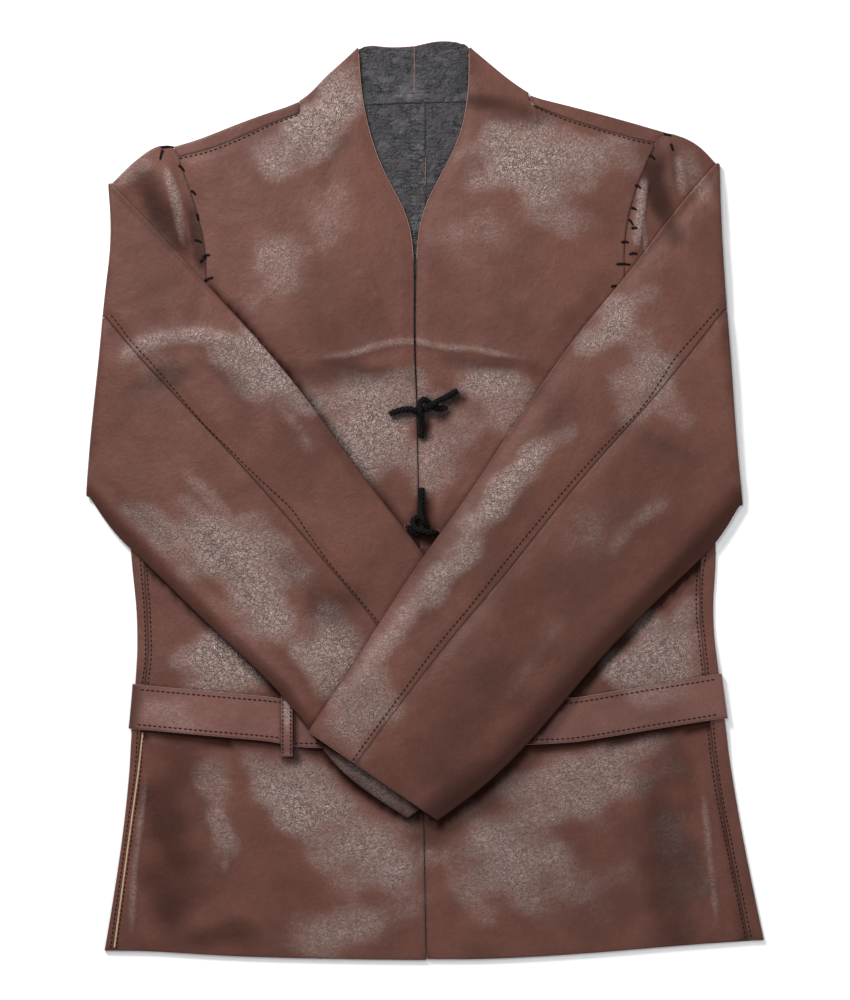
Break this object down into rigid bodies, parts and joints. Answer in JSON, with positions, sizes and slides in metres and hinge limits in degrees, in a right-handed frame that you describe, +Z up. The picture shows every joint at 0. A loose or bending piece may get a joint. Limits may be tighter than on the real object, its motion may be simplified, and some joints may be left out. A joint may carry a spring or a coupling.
{
  "type": "belted leather jacket",
  "caption": "Leather jacket with a stand collar, laid flat with its sleeves folded over the fronts, cord ties down the front and a belt round the waist.",
  "frame": {"origin": "middle of the bounding box, on the surface that the jacket lies on", "axes": "+Z up from the surface, +Y from the hem to the collar, +X towards the wearer's left"},
  "size_m": [0.6234, 0.845, 0.0256],
  "materials": {
    "leather": "mid-brown grained hide, semi-gloss with duller and shinier patches",
    "leather_inside": "dull charcoal flesh side of the hide",
    "cord": "black braided cord"
  },
  "bodies": {
    "root": {"back_right": "leather", "back_left": "leather", "front_right": "leather", "front_left": "leather", "collar_back_right": "leather_inside", "collar_back_left": "leather_inside", "sleeve_right_top": "leather", "sleeve_right_under": "leather", "sleeve_left_top": "leather", "sleeve_left_under": "leather", "belt": "leather", "belt_loop": "leather", "tie_upper_right": "cord", "tie_upper_left": "cord", "tie_lower_right": "cord", "tie_lower_left": "cord"}
  },
  "joints": []
}
